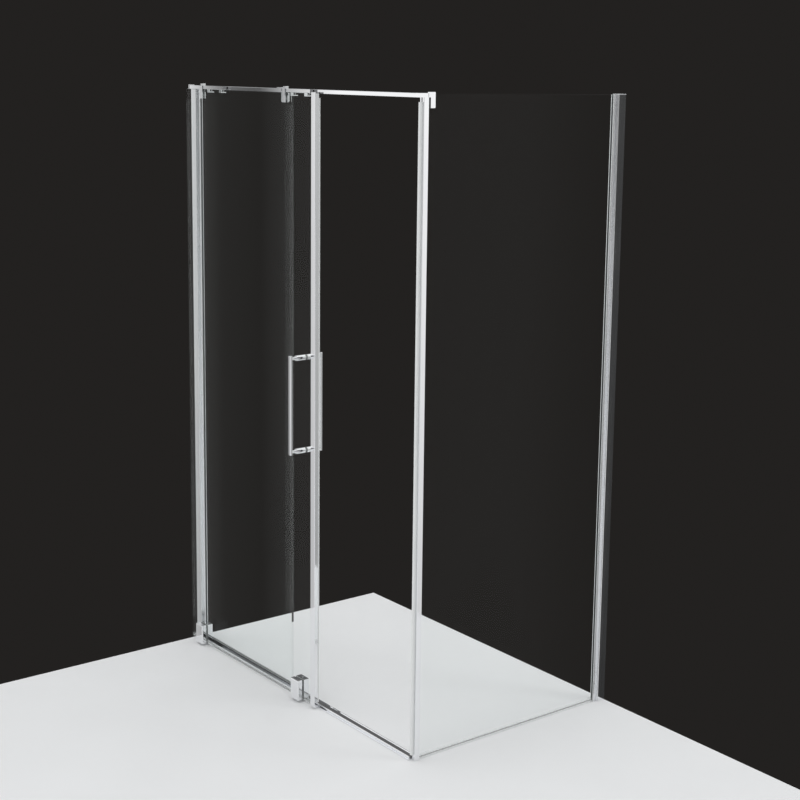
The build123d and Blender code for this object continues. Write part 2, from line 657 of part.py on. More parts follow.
def wiper(x_span):
    grip_top = DOOR_GLASS_BOTTOM + WIPER_GRIP
    skirt = DOOR_GLASS_BOTTOM - SEAL_SKIN
    shape = block(x_span, (DOOR_FRONT - SEAL_SKIN, DOOR_REAR + SEAL_SKIN), (skirt, grip_top))
    shape -= block(past(x_span), (DOOR_FRONT, DOOR_REAR), (DOOR_GLASS_BOTTOM, grip_top + OVERRUN))
    fin_y = (DOOR_REAR + SEAL_SKIN - WIPER_FIN, DOOR_REAR + SEAL_SKIN)
    shape += block(x_span, fin_y, (skirt - WIPER_DROP, skirt))
    foot_z = (skirt - WIPER_DROP, skirt - WIPER_DROP + WIPER_FIN)
    return shape + block(x_span, (fin_y[0], fin_y[1] + WIPER_REACH), foot_z)


def door_bottom_seals():
    half = ROLLER_BLOCK_WIDTH / 2 + WIPER_END_GAP
    starts = [DOOR_LEFT + SEAL_SKIN, LEFT_BLOCK_X + half, RIGHT_BLOCK_X + half]
    ends = [LEFT_BLOCK_X - half, RIGHT_BLOCK_X - half, DOOR_RIGHT - EDGE_WIDTH]
    return [wiper(span) for span in zip(starts, ends)]


def handle_side(side):
    return -DOOR_PLANE + side * (GLASS / 2 + PAD)


def handle_bar(side):
    near = handle_side(side) + side * (POST_BODY + POST_NECK)
    y_span = sorted((near, near + side * HANDLE_BAR_Y))
    x_span = (HANDLE_X - HANDLE_BAR_X / 2, HANDLE_X + HANDLE_BAR_X / 2)
    shape = block(x_span, y_span, (HANDLE_BOTTOM, HANDLE_BOTTOM + HANDLE_LENGTH))
    return fillet(shape.edges(), HANDLE_BAR_ROUND)


def handle_post(side, z):
    base = handle_side(side)
    body_end = base + side * POST_BODY
    shape = rod_y(HANDLE_X, sorted((base, body_end)), z, POST_BODY_R)
    shape += rod_y(HANDLE_X, sorted((body_end, body_end + side * POST_NECK)), z, POST_NECK_R)
    bore = sorted((base - side * OVERRUN, base + side * STUD_BITE))
    return shape - rod_y(HANDLE_X, bore, z, STUD_R + STUD_SLACK)


def handle_posts():
    return [handle_post(side, z) for side in (-1, 1) for z in handle_heights()]


def handle_washers():
    washers = []
    for side in (-1, 1):
        for z in handle_heights():
            face = -DOOR_PLANE + side * GLASS / 2
            ring = rod_y(HANDLE_X, sorted((face, face + side * PAD)), z, WASHER_R)
            collar = sorted((face + side * PAD, face - side * GLASS / 3))
            ring += rod_y(HANDLE_X, collar, z, GLASS_HOLE_R - SCREW_SLACK)
            hole = sorted((face + side * (PAD + OVERRUN), face - side * GLASS / 2))
            washers.append(ring - rod_y(HANDLE_X, hole, z, STUD_R + SCREW_SLACK))
    return washers


def handle_studs():
    ends = sorted(handle_side(side) + side * (STUD_BITE - STUD_END_GAP) for side in (-1, 1))
    return [rod_y(HANDLE_X, ends, z, STUD_R) for z in handle_heights()]


def roller_cover(x):
    rear = DOOR_FRONT - PAD
    x_span = (x - ROLLER_BLOCK_WIDTH / 2, x + ROLLER_BLOCK_WIDTH / 2)
    shape = block(x_span, (rear - COVER_DEPTH, rear), (ROLLER_BLOCK_BOTTOM, ROLLER_BLOCK_TOP))
    shape = round_uprights(shape, COVER_ROUND, lambda point: point.Y < rear - COVER_DEPTH / 2)
    tops = [edge for edge in shape.faces().sort_by(Axis.Z)[-1].edges() if edge.center().Y < rear - OVERRUN]
    shape = fillet(tops, COVER_EDGE_ROUND)
    for place_x, z in block_screw_places(x):
        shape -= rod_y(place_x, (rear - BLOCK_SCREW_BITE, rear + OVERRUN), z, CLAMP_SCREW_R + SCREW_SLACK)
    return shape


def roller_carrier(x):
    front = DOOR_REAR + PAD
    x_span = (x - ROLLER_BLOCK_WIDTH / 2, x + ROLLER_BLOCK_WIDTH / 2)
    shape = block(x_span, (front, -CARRIER_REAR), (ROLLER_BLOCK_BOTTOM, ROLLER_BLOCK_TOP))
    shape = round_uprights(shape, COVER_EDGE_ROUND, lambda point: point.Y > (front - CARRIER_REAR) / 2)
    cavity_y = (front + CARRIER_FACE, -CARRIER_REAR - CARRIER_REAR_SKIN)
    cavity_x = (x_span[0] + CARRIER_SKIN, x_span[1] - CARRIER_SKIN)
    shape -= block(cavity_x, cavity_y, (ROLLER_BLOCK_BOTTOM - OVERRUN, CARRIER_CAVITY_TOP))
    track_half = TRACK_WIDTH / 2 + TRACK_CLEARANCE
    track_z = (ROLLER_BLOCK_BOTTOM - OVERRUN, TRACK_HEIGHT + TRACK_CLEARANCE)
    shape -= block(past(x_span), (TRACK_Y - track_half, TRACK_Y + track_half), track_z)
    for place_x, z in block_screw_places(x):
        shape -= rod_y(place_x, (front - OVERRUN, -CARRIER_REAR + OVERRUN), z, CLAMP_SCREW_R + SCREW_SLACK)
        sink = (front + CARRIER_FACE, -CARRIER_REAR + OVERRUN)
        shape -= rod_y(place_x, sink, z, CLAMP_HEAD_R + SCREW_SLACK)
    axle_bore = (front + CARRIER_FACE / 2, -CARRIER_REAR + OVERRUN)
    for axle_x in roller_places(x):
        shape -= rod_y(axle_x, axle_bore, ROLLER_Z, AXLE_R + SCREW_SLACK)
    top = ROLLER_BLOCK_TOP
    middle = (cavity_y[0] + cavity_y[1]) / 2
    shape -= rod_z(x, middle, (top - ADJUSTER_RECESS, top + OVERRUN), ADJUSTER_RECESS_R)
    return shape - rod_z(x, middle, (CARRIER_CAVITY_TOP - OVERRUN, top), ADJUSTER_R + SCREW_SLACK)


def roller_places(x):
    return [x - ROLLER_SPREAD, x + ROLLER_SPREAD]


def height_adjuster(x):
    front = DOOR_REAR + PAD + CARRIER_FACE
    middle = (front - CARRIER_REAR - CARRIER_REAR_SKIN) / 2
    top = ROLLER_BLOCK_TOP - ADJUSTER_RECESS
    shape = rod_z(x, middle, (top - ADJUSTER_LENGTH, top), ADJUSTER_R)
    return shape - rod_z(x, middle, (top - SOCKET_DEPTH, top + OVERRUN), SOCKET_R)


def roller_block_screws(x):
    head = DOOR_REAR + PAD + CARRIER_FACE
    tip = DOOR_FRONT - PAD - BLOCK_SCREW_BITE + STUD_END_GAP
    return [screw_y(place_x, z, head, tip, 1) for place_x, z in block_screw_places(x)]


def roller_pads(x):
    x_span = (x - ROLLER_BLOCK_WIDTH / 2, x + ROLLER_BLOCK_WIDTH / 2)
    z_span = (DOOR_GLASS_BOTTOM, ROLLER_BLOCK_TOP - PAD)
    return pad_pair(x_span, z_span, -DOOR_PLANE, block_screw_places(x))


def roller_axle(x):
    front = DOOR_REAR + PAD + CARRIER_FACE
    shape = rod_y(x, (front - CARRIER_FACE / 2, -CARRIER_REAR), ROLLER_Z, AXLE_R)
    near = TRACK_Y - ROLLER_WIDTH / 2 - ROLLER_GAP
    far = TRACK_Y + ROLLER_WIDTH / 2 + ROLLER_GAP
    shape += rod_y(x, (front, near), ROLLER_Z, AXLE_HEAD_R)
    return shape + rod_y(x, (far, -CARRIER_REAR - CARRIER_REAR_SKIN), ROLLER_Z, AXLE_HEAD_R)


def turned_ring(x, y_mid, z, profile):
    face = make_face(Polyline(*profile, close=True))
    ring = revolve(face, Axis.Y)
    return Pos(x, y_mid, z) * ring


def roller_tyre(x):
    half = ROLLER_WIDTH / 2
    notch = ROLLER_GROOVE_WIDTH / 2
    profile = [(BEARING_R, -half), (ROLLER_RIM_R, -half), (ROLLER_RIM_R, -notch), (ROLLER_GROOVE_R, -notch),
               (ROLLER_GROOVE_R, notch), (ROLLER_RIM_R, notch), (ROLLER_RIM_R, half), (BEARING_R, half)]
    return turned_ring(x, TRACK_Y, ROLLER_Z, profile)


def roller_bearing(x):
    half = ROLLER_WIDTH / 2
    profile = [(BEARING_BORE_R, -half), (BEARING_R, -half), (BEARING_R, half), (BEARING_BORE_R, half)]
    return turned_ring(x, TRACK_Y, ROLLER_Z, profile)


def guide_wheel_places(x):
    return [x + GUIDE_WHEEL_INSET, x + GUIDE_LENGTH - GUIDE_WHEEL_INSET]


def guide_arm(x):
    x_span = (x - ARM_WIDTH / 2, x + ARM_WIDTH / 2)
    rear = DOOR_REAR + PAD
    floor = GUIDE_BAR_BOTTOM - ARM_DROP
    shape = block(x_span, (rear, rear + GUIDE_REAR_PLATE), (floor, GUIDE_BAR_BOTTOM))
    shape += block(x_span, (rear, RAIL_REAR - ARM_END_GAP + GUIDE_AXLE_R), (floor, floor + ARM_THICKNESS))
    return shape - rod_z(x, TRACK_Y, past((floor, floor + ARM_THICKNESS)), GUIDE_AXLE_R + SCREW_SLACK)


def guide_carrier(x):
    rear = DOOR_REAR + PAD + GUIDE_REAR_PLATE
    bar_y = (rear - GUIDE_BAR_SETBACK - GUIDE_DEPTH, rear - GUIDE_BAR_SETBACK)
    shape = block((x, x + GUIDE_LENGTH), bar_y, (GUIDE_BAR_BOTTOM, GUIDE_BAR_TOP))
    clamp_x = (x, x + GUIDE_CLAMP_WIDTH)
    shape += block(clamp_x, bar_y, (GUIDE_BAR_BOTTOM, GUIDE_BAR_TOP + GUIDE_LUG))
    lug = [edge for edge in shape.edges().filter_by(Axis.Y) if edge.center().Z > GUIDE_BAR_TOP + OVERRUN]
    shape = fillet(lug, GUIDE_ROUND)
    plate_z = (GUIDE_BAR_BOTTOM - GUIDE_DROP, GUIDE_BAR_BOTTOM)
    shape += block(clamp_x, (DOOR_REAR + PAD, rear), plate_z)
    for place in guide_wheel_places(x):
        shape += guide_arm(place)
    screw_x, screw_z = guide_screw_place(x)
    return shape - rod_y(screw_x, past((DOOR_REAR, rear)), screw_z, CLAMP_SCREW_R + SCREW_SLACK)


def guide_front_plate(x):
    rear = DOOR_FRONT - PAD
    z_span = (GUIDE_BAR_BOTTOM - GUIDE_DROP, GUIDE_BAR_TOP)
    shape = block((x, x + GUIDE_CLAMP_WIDTH), (rear - GUIDE_FRONT_PLATE, rear), z_span)
    front = [edge for edge in shape.faces().sort_by(Axis.Y)[0].edges()]
    shape = fillet(front, GUIDE_ROUND)
    screw_x, screw_z = guide_screw_place(x)
    bore = (rear - GUIDE_FRONT_PLATE + PAD, rear + OVERRUN)
    return shape - rod_y(screw_x, bore, screw_z, CLAMP_SCREW_R + SCREW_SLACK)


def guide_pads(x):
    z_span = (GUIDE_BAR_BOTTOM - GUIDE_DROP, DOOR_GLASS_TOP)
    pads = pad_pair((x, x + GUIDE_CLAMP_WIDTH), z_span, -DOOR_PLANE, [guide_screw_place(x)])
    strip = block((x, x + GUIDE_LENGTH), (DOOR_FRONT, DOOR_REAR), (DOOR_GLASS_TOP, GUIDE_BAR_BOTTOM))
    return pads + [strip]


def guide_screw(x):
    screw_x, screw_z = guide_screw_place(x)
    head = DOOR_REAR + PAD + GUIDE_REAR_PLATE
    return screw_y(screw_x, screw_z, head, DOOR_FRONT - PAD - GUIDE_FRONT_PLATE + 2 * PAD, 1)


def guide_wheel_z():
    return (GUIDE_WHEEL_Z, GUIDE_WHEEL_Z + GUIDE_WHEEL_HEIGHT)


def guide_axle(x):
    low, high = guide_wheel_z()
    floor = GUIDE_BAR_BOTTOM - ARM_DROP
    shape = rod_z(x, TRACK_Y, (floor, high + GUIDE_AXLE_PLAY + GUIDE_AXLE_HEAD), GUIDE_AXLE_R)
    shape += rod_z(x, TRACK_Y, (floor + ARM_THICKNESS, low - GUIDE_AXLE_PLAY), GUIDE_COLLAR_R)
    head = (high + GUIDE_AXLE_PLAY, high + GUIDE_AXLE_PLAY + GUIDE_AXLE_HEAD)
    return shape + rod_z(x, TRACK_Y, head, GUIDE_AXLE_HEAD_R)


def guide_wheel(x):
    wheel = rod_z(x, TRACK_Y, guide_wheel_z(), GUIDE_WHEEL_R)
    return wheel - rod_z(x, TRACK_Y, past(guide_wheel_z()), GUIDE_WHEEL_BORE_R)


# Assembly

def both(make, places):
    pieces = []
    for place in places:
        made = make(place)
        pieces += made if isinstance(made, list) else [made]
    return pieces


def frame_nodes():
    left = Pos(LEFT_WALL, 0, 0)
    back = Pos(0, BACK_WALL, 0) * Rot(0, 0, -90)
    front_top = FRONT_PROFILE_TOP
    side_top = SIDE_PROFILE_TOP
    gaskets = [left * edge_gasket(BASE_THICKNESS, front_top), back * edge_gasket(0, side_top)]
    gaskets += [fixed_glass_seat_gasket(), corner_post_gasket()]
    locks = [left * screw for screw in lock_screws(1)] + [back * screw for screw in lock_screws(-1)]
    return {
        "left_wall_profile": left * drilled_wall_profile(front_top, 1),
        "left_adjusting_profile": left * adjusting_profile(BASE_THICKNESS, front_top, 1),
        "side_wall_profile": back * drilled_wall_profile(side_top, -1),
        "side_adjusting_profile": back * adjusting_profile(0, side_top, -1),
        "profile_caps": [left * profile_cap(front_top), back * profile_cap(side_top)],
        "profile_lock_screws": locks,
        "glazing_gaskets": gaskets,
        "bottom_rail": bottom_rail(),
        "fixed_glass": fixed_glass(),
        "fixed_glass_seat": fixed_glass_seat(),
        "fixed_glass_edge_seal": fixed_glass_edge_seal(),
        "top_rail": top_rail(),
        "rail_wall_bracket": rail_wall_bracket(),
        "door_stops": door_stops(),
        "rail_saddle": rail_saddle(),
        "rail_clamp_plate": rail_clamp_plate(),
        "corner_post": corner_post(),
        "post_magnetic_strip": post_magnetic_strip(),
        "side_glass": side_glass(),
        "side_glass_base_seal": side_glass_base_seal(),
        "corner_bracket": corner_bracket(),
        "corner_clamp_plate": corner_clamp_plate(),
        "frame_clamp_pads": rail_clamp_pads() + corner_clamp_pads(),
        "frame_clamp_screws": [rail_clamp_screw(), corner_clamp_screw()],
    }


def door_nodes():
    blocks = [LEFT_BLOCK_X, RIGHT_BLOCK_X]
    guides = [LEFT_GUIDE_X, RIGHT_GUIDE_X]
    axle_places = roller_places(LEFT_BLOCK_X) + roller_places(RIGHT_BLOCK_X)
    guide_places = guide_wheel_places(LEFT_GUIDE_X) + guide_wheel_places(RIGHT_GUIDE_X)
    return {
        "door_glass": door_glass(),
        "door_edge_profile": door_edge_profile(),
        "door_magnetic_strip": door_magnetic_strip(),
        "door_trailing_seal": door_trailing_seal(),
        "door_bottom_seals": door_bottom_seals(),
        "outer_handle_bar": handle_bar(-1),
        "inner_handle_bar": handle_bar(1),
        "handle_posts": handle_posts(),
        "handle_washers": handle_washers(),
        "handle_studs": handle_studs(),
        "left_roller_cover": roller_cover(LEFT_BLOCK_X),
        "right_roller_cover": roller_cover(RIGHT_BLOCK_X),
        "left_roller_carrier": roller_carrier(LEFT_BLOCK_X),
        "right_roller_carrier": roller_carrier(RIGHT_BLOCK_X),
        "height_adjusters": both(height_adjuster, blocks),
        "roller_axles": both(roller_axle, axle_places),
        "left_guide_carrier": guide_carrier(LEFT_GUIDE_X),
        "right_guide_carrier": guide_carrier(RIGHT_GUIDE_X),
        "guide_front_plates": both(guide_front_plate, guides),
        "guide_axles": both(guide_axle, guide_places),
        "door_clamp_pads": both(roller_pads, blocks) + both(guide_pads, guides),
        "door_clamp_screws": both(roller_block_screws, blocks) + both(guide_screw, guides),
    }


def wheel_nodes():
    nodes = {}
    for side, x in (("left", LEFT_BLOCK_X), ("right", RIGHT_BLOCK_X)):
        for end, place in zip(("a", "b"), roller_places(x)):
            nodes[f"{side}_roller_{end}_tyre"] = roller_tyre(place)
            nodes[f"{side}_roller_{end}_bearing"] = roller_bearing(place)
    for side, x in (("left", LEFT_GUIDE_X), ("right", RIGHT_GUIDE_X)):
        for end, place in zip(("a", "b"), guide_wheel_places(x)):
            nodes[f"{side}_guide_wheel_{end}"] = guide_wheel(place)
    return nodes


HANDLE_FRONT = handle_side(-1) - POST_BODY - POST_NECK - HANDLE_BAR_Y
MIDDLE_X = (LEFT_WALL + PROFILE_ACROSS / 2) / 2
MIDDLE_Y = (HANDLE_FRONT + BACK_WALL) / 2

os.makedirs("parts", exist_ok=True)
for name, shape in {**frame_nodes(), **door_nodes(), **wheel_nodes()}.items():
    made = shape if isinstance(shape, list) else [shape]
    solids = []
    for piece in made:
        solids += (Pos(-MIDDLE_X, -MIDDLE_Y, 0) * piece).solids()
    export_step(Compound(children=solids), f"parts/{name}.step")
print("middle", MIDDLE_X, MIDDLE_Y)
print("door travel", DOOR_TRAVEL, "roller radius", ROLLER_GROOVE_R, "guide wheel radius", GUIDE_WHEEL_R)
print("handle x", HANDLE_X, "roller z", ROLLER_Z, "track y", TRACK_Y)
print("roller x", roller_places(LEFT_BLOCK_X), roller_places(RIGHT_BLOCK_X))
print("guide wheel x", guide_wheel_places(LEFT_GUIDE_X), guide_wheel_places(RIGHT_GUIDE_X))
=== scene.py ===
import math

import bpy
from mathutils import Matrix, Vector


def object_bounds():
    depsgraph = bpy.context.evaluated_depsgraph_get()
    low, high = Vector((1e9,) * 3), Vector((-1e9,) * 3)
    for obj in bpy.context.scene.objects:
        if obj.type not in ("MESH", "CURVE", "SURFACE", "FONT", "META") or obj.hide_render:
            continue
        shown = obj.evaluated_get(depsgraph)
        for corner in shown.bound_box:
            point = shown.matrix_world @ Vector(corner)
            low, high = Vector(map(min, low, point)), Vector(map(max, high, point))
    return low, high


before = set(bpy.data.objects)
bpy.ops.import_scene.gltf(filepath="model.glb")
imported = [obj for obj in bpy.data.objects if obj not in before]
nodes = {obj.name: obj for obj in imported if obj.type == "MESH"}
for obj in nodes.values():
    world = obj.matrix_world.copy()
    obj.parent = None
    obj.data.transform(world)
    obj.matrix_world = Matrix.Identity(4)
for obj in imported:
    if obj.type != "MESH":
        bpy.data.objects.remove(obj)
cad_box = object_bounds()

# Which pieces of the enclosure share a finish
CHROME_PROFILES = ["left_wall_profile", "side_wall_profile", "corner_post", "door_edge_profile",
                   "fixed_glass_seat"]
SLIDING_PROFILES = ["left_adjusting_profile", "side_adjusting_profile"]
CHROME_RAILS = ["bottom_rail", "top_rail"]
CHROME_FITTINGS = ["rail_wall_bracket", "rail_saddle", "rail_clamp_plate", "corner_bracket",
                   "corner_clamp_plate", "left_roller_cover", "right_roller_cover",
                   "left_roller_carrier", "right_roller_carrier", "left_guide_carrier",
                   "right_guide_carrier", "guide_front_plates"]
CHROME_HANDLE = ["outer_handle_bar", "inner_handle_bar", "handle_posts"]
GLASS_PANES = ["fixed_glass", "side_glass", "door_glass"]
EDGE_SEALS = ["fixed_glass_edge_seal", "door_trailing_seal"]
BASE_SEALS = ["side_glass_base_seal", "door_bottom_seals"]
GASKETS = ["glazing_gaskets", "frame_clamp_pads", "door_clamp_pads", "handle_washers"]
MAGNET_STRIPS = ["post_magnetic_strip", "door_magnetic_strip"]
STEEL_PARTS = ["profile_lock_screws", "frame_clamp_screws", "door_clamp_screws", "handle_studs",
               "height_adjusters", "roller_axles", "guide_axles"]
ROLLERS = ["left_roller_a", "left_roller_b", "right_roller_a", "right_roller_b"]
ROLLER_BEARINGS = [f"{roller}_bearing" for roller in ROLLERS]
ROLLER_TYRES = [f"{roller}_tyre" for roller in ROLLERS]
GUIDE_WHEELS = ["left_guide_wheel_a", "left_guide_wheel_b", "right_guide_wheel_a",
                "right_guide_wheel_b"]
DOOR_STOPS = ["door_stops"]
PROFILE_CAPS = ["profile_caps"]

# Small rounds on the edges of the pieces, in metres, where an edge turns by at least the angle in degrees
DRAWN_EDGE = 0.0003
CAST_EDGE = 0.0004
GLASS_EDGE = 0.0008
MAGNET_STRIP_EDGE = 0.0004
STEEL_EDGE = 0.0002
WHEEL_EDGE = 0.0003
STOP_EDGE = 0.0005
CAP_EDGE = 0.0003
EDGE_SEGMENTS = 2
EDGE_LEAST_ANGLE = 40.0

# Tones of each finish: its colour drifts between the first and the second, and the larger the scale,
# the shorter the way over which it drifts
CHROME_TONES = dict(first=(0.84, 0.85, 0.87), second=(0.91, 0.915, 0.925), scale=4.0)
STEEL_TONES = dict(first=(0.50, 0.51, 0.52), second=(0.62, 0.62, 0.63), scale=40.0)
GLASS_TONES = dict(first=(0.970, 0.986, 0.982), second=(0.980, 0.994, 0.990), scale=1.5)
SEAL_TONES = dict(first=(0.70, 0.73, 0.73), second=(0.80, 0.82, 0.82), scale=9.0)
GASKET_TONES = dict(first=(0.50, 0.52, 0.52), second=(0.58, 0.60, 0.60), scale=14.0)
MAGNET_STRIP_TONES = dict(first=(0.70, 0.72, 0.72), second=(0.80, 0.81, 0.81), scale=12.0)
NYLON_TONES = dict(first=(0.74, 0.74, 0.71), second=(0.82, 0.82, 0.80), scale=60.0)
RUBBER_TONES = dict(first=(0.018, 0.018, 0.019), second=(0.032, 0.032, 0.033), scale=80.0)
CAP_TONES = dict(first=(0.55, 0.56, 0.57), second=(0.62, 0.63, 0.64), scale=50.0)

# Marks of each finish: its roughness lies between low and high, a stretch under 1 draws the haze out
# along the height, larger scales make finer haze and film, and the relief is in metres
HAZE_SCALE = 60.0
FILM_SCALE = 5.0
DRAWN_CHROME_MARKS = dict(low=0.03, high=0.07, stretch=0.02, relief=0.000006)
SOFT_CHROME_MARKS = dict(low=0.22, high=0.32, stretch=0.02, relief=0.000006)
RAIL_CHROME_MARKS = dict(low=0.02, high=0.05, stretch=1.0, relief=0.000004)
CAST_CHROME_MARKS = dict(low=0.03, high=0.08, stretch=1.0, relief=0.00001)
HANDLE_CHROME_MARKS = dict(low=0.02, high=0.06, stretch=0.3, relief=0.000005)
STEEL_MARKS = dict(low=0.24, high=0.42, stretch=1.0, haze_scale=500.0, film_scale=30.0, relief=0.00004)
GLASS_MARKS = dict(low=0.0, high=0.003, stretch=0.6, haze_scale=24.0, film_scale=2.0)
SEAL_MARKS = dict(low=0.12, high=0.26, stretch=0.08, haze_scale=90.0, film_scale=8.0)
GASKET_MARKS = dict(low=0.30, high=0.46, stretch=0.08, haze_scale=140.0, relief=0.00004)
MAGNET_STRIP_MARKS = dict(low=0.26, high=0.40, stretch=0.08, haze_scale=120.0, relief=0.00005)
NYLON_MARKS = dict(low=0.30, high=0.46, stretch=1.0, haze_scale=600.0, film_scale=60.0, relief=0.00004)
RUBBER_MARKS = dict(low=0.62, high=0.84, stretch=1.0, haze_scale=700.0, film_scale=80.0, relief=0.00008)
CAP_MARKS = dict(low=0.28, high=0.40, stretch=1.0, haze_scale=400.0, film_scale=40.0, relief=0.00004)

# How the marks are made: the detail of their noise, the span of it that is used, and the bump's strength
HAZE_DETAIL = 6.0
FILM_DETAIL = 4.0
TONE_DETAIL = 3.0
MARKS_SPAN = (0.12, 0.42)
BUMP_STRENGTH = 0.35

# Treated glass: the mirror is the share of the usual mirror image that it shows, looked at straight on,
# and the passed share of a lamp's light goes on through each face, where a solid would cast a shadow
GLASS_INDEX = 1.1
GLASS_MIRROR = 0.5
GLASS_PASSED = 0.99

# Clear seals: the cover is the share of what lies behind it that a face hides
SEAL_INDEX = 1.4
EDGE_SEAL_COVER = 0.010
BASE_SEAL_COVER = 0.10

# Nylon: how much light spreads under its surface, and how far in metres
NYLON_GLOW = 0.08
NYLON_GLOW_REACH = (0.004, 0.004, 0.003)

# Camera, fitted to the photograph's edges: its place in metres, its angles in degrees, and its lens and
# sensor in millimetres. Turned about X by the level view, a camera looks level.
CAMERA_PLACE = (4.056, -3.0605, 2.077)
CAMERA_YAW = 52.4
CAMERA_PITCH = -10.01
CAMERA_ROLL = 0.67
CAMERA_LENS = 69.12
CAMERA_SENSOR = 36.0
CAMERA_SHIFT_Y = -0.08
CAMERA_NEAREST = 0.1
CAMERA_FARTHEST = 200.0
LEVEL_VIEW = 90

# Floor and backdrop, with the reach and height in metres. The floor's tone drifts down to its shade share.
PALE_FLOOR_COLOR = (0.78, 0.79, 0.80)
PALE_FLOOR_SHADE_SHARE = 0.97
PALE_FLOOR_SCALE = 1.6
PALE_FLOOR_MARKS = dict(low=0.42, high=0.62, stretch=1.0, haze_scale=30.0, film_scale=3.0, relief=0.0004)
FLOOR_REACH = 14.0
BACKDROP_COLOR = (0.0165, 0.0152, 0.0143)
BACKDROP_REACH = 56.0
BACKDROP_HEIGHT = -0.001

# How bright the studio is all round, by the bearing in degrees from +Y towards +X. Dark flags stand beside
# its bright screens, so that the panes stay clear and the chrome keeps its contrast.
STUDIO_ROUND = ((-180, 0.80), (-129, 1.05), (-124.0, 1.05), (-123.4, 0.09), (-121.0, 0.09), (-120.4, 0.90),
                (-108, 0.80), (-90, 0.12), (-20, 0.12), (15, 0.30), (30, 0.10), (45.5, 0.05), (48, 1.05),
                (52.8, 1.05), (54.2, 0.55), (85, 0.70), (115, 0.20), (145, 0.20), (170, 0.80), (180, 0.80))
FULL_TURN = 360
RAMP_MIDDLE = 0.5

# The studio fades to its foot share downwards and has a bright top. Each band gives the Z of the directions
# between which it changes: -1 is straight down, 0 is level and 1 is straight up.
STUDIO_FOOT_SHARE = 0.62
STUDIO_FOOT_BAND = (-0.40, 0.0)
STUDIO_TOP = 1.05
STUDIO_TOP_BAND = (0.46, 0.74)

# Softboxes: name, place, the point that each faces, width and height in metres, and power in watts
SOFTBOXES = (
    ("softbox_front", (3.2, -4.2, 3.2), (0, 0, 1.0), 3.0, 3.0, 42.0),
    ("softbox_left", (-3.4, -3.2, 2.4), (0, 0, 1.0), 1.2, 3.6, 6.0),
    ("softbox_right", (3.8, 2.6, 2.4), (0, 0, 1.0), 1.2, 3.6, 30.0),
    ("softbox_top", (0.3, -0.4, 5.0), (0.1, 0, 0), 4.0, 4.0, 36.0),
)

WHITE = (1, 1, 1, 1)
BLACK = (0, 0, 0, 1)

# Places of the colour sockets on Blender's Mix node, which share their names with others
MIX_FIRST_COLOR = 6
MIX_SECOND_COLOR = 7
MIX_COLOR = 2

# A ray's count of bounces is a whole number, so it has none where the count is below this
NO_BOUNCE_BELOW = 0.5


# Helpers for the shader nodes

def solid(color):
    return (*color, 1)


def grey(level):
    return (level, level, level, 1)


def feed(tree, value, slot):
    """Gives a slot its value, which is another node's output or a plain number."""
    if hasattr(value, "is_linked"):
        tree.links.new(value, slot)
    else:
        slot.default_value = value


def math_node(tree, operation, first, second):
    node = tree.nodes.new("ShaderNodeMath")
    node.operation = operation
    feed(tree, first, node.inputs[0])
    feed(tree, second, node.inputs[1])
    return node.outputs["Value"]


def ranged(tree, value, given, wanted):
    """Carries a value over from the given range to the wanted one, and holds it at both ends."""
    node = tree.nodes.new("ShaderNodeMapRange")
    feed(tree, value, node.inputs["Value"])
    for label, bound in zip(("From Min", "From Max", "To Min", "To Max"), (*given, *wanted)):
        feed(tree, bound, node.inputs[label])
    return node.outputs["Result"]


def noise(tree, place, scale, detail):
    texture = tree.nodes.new("ShaderNodeTexNoise")
    texture.inputs["Detail"].default_value = detail
    tree.links.new(place, texture.inputs["Vector"])
    tree.links.new(scale, texture.inputs["Scale"])
    return texture.outputs["Fac"]


def mixed_shader(tree, share, first, second):
    """The first shader where the share is 0, and the second where it is 1."""
    either = tree.nodes.new("ShaderNodeMixShader")
    tree.links.new(share, either.inputs["Fac"])
    tree.links.new(first, either.inputs[1])
    tree.links.new(second, either.inputs[2])
    return either.outputs["Shader"]


# The two effects that the finishes share

def new_group(name, inputs, outputs):
    group = bpy.data.node_groups.new(name, "ShaderNodeTree")
    for label, kind, value in inputs:
        socket = group.interface.new_socket(name=label, in_out="INPUT", socket_type=kind)
        socket.default_value = value
    for label, kind in outputs:
        group.interface.new_socket(name=label, in_out="OUTPUT", socket_type=kind)
    return group, group.nodes.new("NodeGroupInput"), group.nodes.new("NodeGroupOutput")


def drawn_out(tree, place, stretch):
    """The place on the surface with its height scaled by the stretch, so that marks there grow longer."""
    scales = tree.nodes.new("ShaderNodeCombineXYZ")
    scales.inputs["X"].default_value = 1.0
    scales.inputs["Y"].default_value = 1.0
    tree.links.new(stretch, scales.inputs["Z"])
    scaled = tree.nodes.new("ShaderNodeVectorMath")
    scaled.operation = "MULTIPLY"
    tree.links.new(place, scaled.inputs[0])
    tree.links.new(scales.outputs["Vector"], scaled.inputs[1])
    return scaled.outputs["Vector"]


def make_surface_marks():
    """Fine polishing haze, and the faint soap film and water marks that a wiped surface keeps."""
    group, given, result = new_group(
        "surface_marks",
        [("Haze Scale", "NodeSocketFloat", HAZE_SCALE), ("Film Scale", "NodeSocketFloat", FILM_SCALE),
         ("Stretch", "NodeSocketFloat", 1.0), ("Low", "NodeSocketFloat", 0.0),
         ("High", "NodeSocketFloat", 1.0)],
        [("Value", "NodeSocketFloat"), ("Height", "NodeSocketFloat")])
    place = group.nodes.new("ShaderNodeTexCoord").outputs["Object"]
    drawn = drawn_out(group, place, given.outputs["Stretch"])
    haze = noise(group, drawn, given.outputs["Haze Scale"], HAZE_DETAIL)
    film = noise(group, place, given.outputs["Film Scale"], FILM_DETAIL)
    both = math_node(group, "MULTIPLY", haze, film)
    roughness = ranged(group, both, MARKS_SPAN, (given.outputs["Low"], given.outputs["High"]))
    group.links.new(roughness, result.inputs["Value"])
    group.links.new(haze, result.inputs["Height"])
    return group


